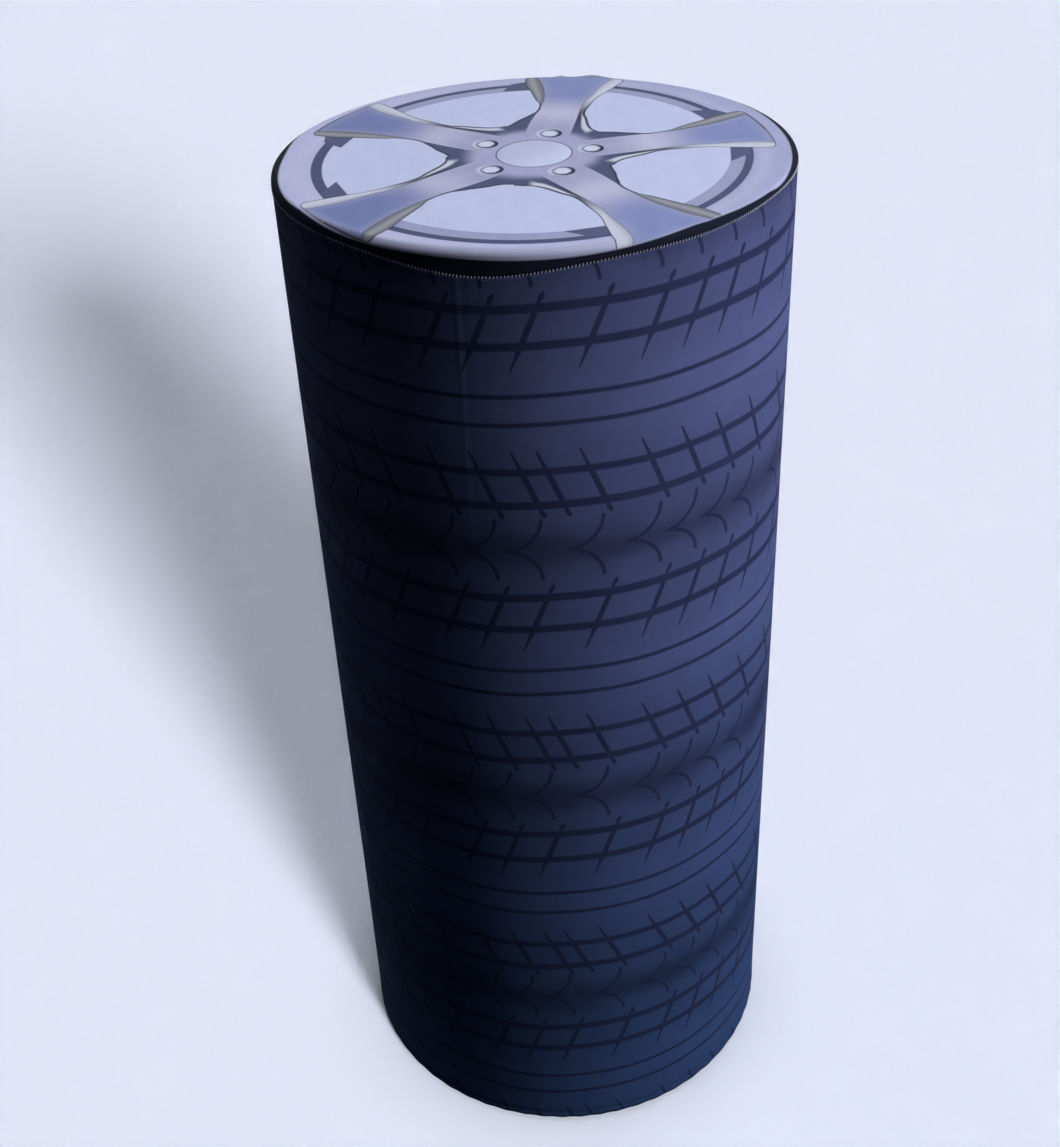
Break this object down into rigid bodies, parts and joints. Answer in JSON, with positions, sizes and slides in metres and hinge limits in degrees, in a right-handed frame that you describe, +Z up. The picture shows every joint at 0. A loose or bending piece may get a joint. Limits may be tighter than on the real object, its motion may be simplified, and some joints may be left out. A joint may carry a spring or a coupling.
{
  "type": "covered display plinth",
  "caption": "Round display plinth in a fitted stretch-knit cover printed with stacked tyres and a wheel, over a flat-pack frame with a rolled wall, tube poles and levelling feet.",
  "frame": {"origin": "on the floor under the centre of the plinth", "axes": "+Z up along the plinth's axis, -Y towards the front, +Y towards the cover's back seam, +X to the right"},
  "size_m": [0.4009, 0.401, 0.9],
  "materials": {
    "printed_knit": "stretch knit, printed, soft matt",
    "thread": "spun polyester thread",
    "elastic": "braided elastic",
    "board": "birch plywood, sanded",
    "wall_sheet": "foamed PVC sheet, satin",
    "bond_tape": "foam mounting tape",
    "loop_tape": "brushed loop tape",
    "hook_tape": "moulded hook tape",
    "pole": "anodised tube",
    "joiner": "moulded nylon",
    "flange": "moulded nylon, fine texture",
    "screw": "zinc-plated",
    "black_screw": "black oxide",
    "insert": "zinc-plated",
    "stem": "zinc-plated",
    "pad": "moulded nylon",
    "sole": "matt rubber"
  },
  "bodies": {
    "stand": {"base_board": "board", "base_flange_screws": "screw", "pole_grub_screws": "black_screw", "rolled_wall": "wall_sheet", "closure_strip": "wall_sheet", "closure_bond_tape": "bond_tape", "closure_loop_tape": "loop_tape", "closure_hook_tape": "hook_tape", "base_flange_1": "flange", "base_flange_2": "flange", "base_flange_3": "flange", "base_flange_4": "flange", "lower_pole_1": "pole", "lower_pole_2": "pole", "lower_pole_3": "pole", "lower_pole_4": "pole", "upper_pole_1": "pole", "upper_pole_2": "pole", "upper_pole_3": "pole", "upper_pole_4": "pole", "pole_joiner_1": "joiner", "pole_joiner_2": "joiner", "pole_joiner_3": "joiner", "pole_joiner_4": "joiner", "foot_insert_1": "insert", "foot_insert_2": "insert", "foot_insert_3": "insert", "foot_insert_4": "insert"},
    "lid": {"lid_board": "board", "lid_flange_screws": "screw", "lid_flange_1": "flange", "lid_flange_2": "flange", "lid_flange_3": "flange", "lid_flange_4": "flange"},
    "cover": {"cover_top_panel": "printed_knit", "cover_side_panel": "printed_knit", "cover_hem": "printed_knit", "cover_hem_elastic": "elastic", "cover_hem_thread": "thread", "cover_top_seam_allowance": "printed_knit", "cover_top_seam_thread": "thread", "cover_back_seam_allowance": "printed_knit", "cover_back_seam_thread": "thread"},
    "foot_1_pad": {"foot_sole_1": "sole", "foot_pad_1": "pad"},
    "foot_1_stem": {"foot_stem_1": "stem"},
    "foot_2_pad": {"foot_sole_2": "sole", "foot_pad_2": "pad"},
    "foot_2_stem": {"foot_stem_2": "stem"},
    "foot_3_pad": {"foot_sole_3": "sole", "foot_pad_3": "pad"},
    "foot_3_stem": {"foot_stem_3": "stem"},
    "foot_4_pad": {"foot_sole_4": "sole", "foot_pad_4": "pad"},
    "foot_4_stem": {"foot_stem_4": "stem"}
  },
  "joints": [
    {"name": "lid_lift", "type": "slide", "parent": "stand", "child": "lid", "axis": [0, 0, 1], "range_m": [0, 0.15]},
    {"name": "cover_lift", "type": "slide", "parent": "lid", "child": "cover", "axis": [0, 0, 1], "range_m": [0, 0.95], "deforming": ["cover_hem", "cover_hem_elastic", "cover_hem_thread"]},
    {"name": "foot_1_height", "type": "slide", "parent": "stand", "child": "foot_1_pad", "axis": [0, 0, -1], "range_m": [0, 0.01002]},
    {"name": "foot_1_turn", "type": "hinge", "parent": "foot_1_pad", "child": "foot_1_stem", "pos_m": [0.15, 0, 0.01], "axis": [0, 0, -1], "range_deg": [0, 3600]},
    {"name": "foot_2_height", "type": "slide", "parent": "stand", "child": "foot_2_pad", "axis": [0, 0, -1], "range_m": [0, 0.01002]},
    {"name": "foot_2_turn", "type": "hinge", "parent": "foot_2_pad", "child": "foot_2_stem", "pos_m": [0, 0.15, 0.01], "axis": [0, 0, -1], "range_deg": [0, 3600]},
    {"name": "foot_3_height", "type": "slide", "parent": "stand", "child": "foot_3_pad", "axis": [0, 0, -1], "range_m": [0, 0.01002]},
    {"name": "foot_3_turn", "type": "hinge", "parent": "foot_3_pad", "child": "foot_3_stem", "pos_m": [-0.15, 0, 0.01], "axis": [0, 0, -1], "range_deg": [0, 3600]},
    {"name": "foot_4_height", "type": "slide", "parent": "stand", "child": "foot_4_pad", "axis": [0, 0, -1], "range_m": [0, 0.01002]},
    {"name": "foot_4_turn", "type": "hinge", "parent": "foot_4_pad", "child": "foot_4_stem", "pos_m": [0, -0.15, 0.01], "axis": [0, 0, -1], "range_deg": [0, 3600]}
  ],
  "couplings": [
    {"joint": "foot_1_height", "follows": "foot_1_turn", "m_per_rad": 0.00015915},
    {"joint": "foot_2_height", "follows": "foot_2_turn", "m_per_rad": 0.00015915},
    {"joint": "foot_3_height", "follows": "foot_3_turn", "m_per_rad": 0.00015915},
    {"joint": "foot_4_height", "follows": "foot_4_turn", "m_per_rad": 0.00015915}
  ]
}
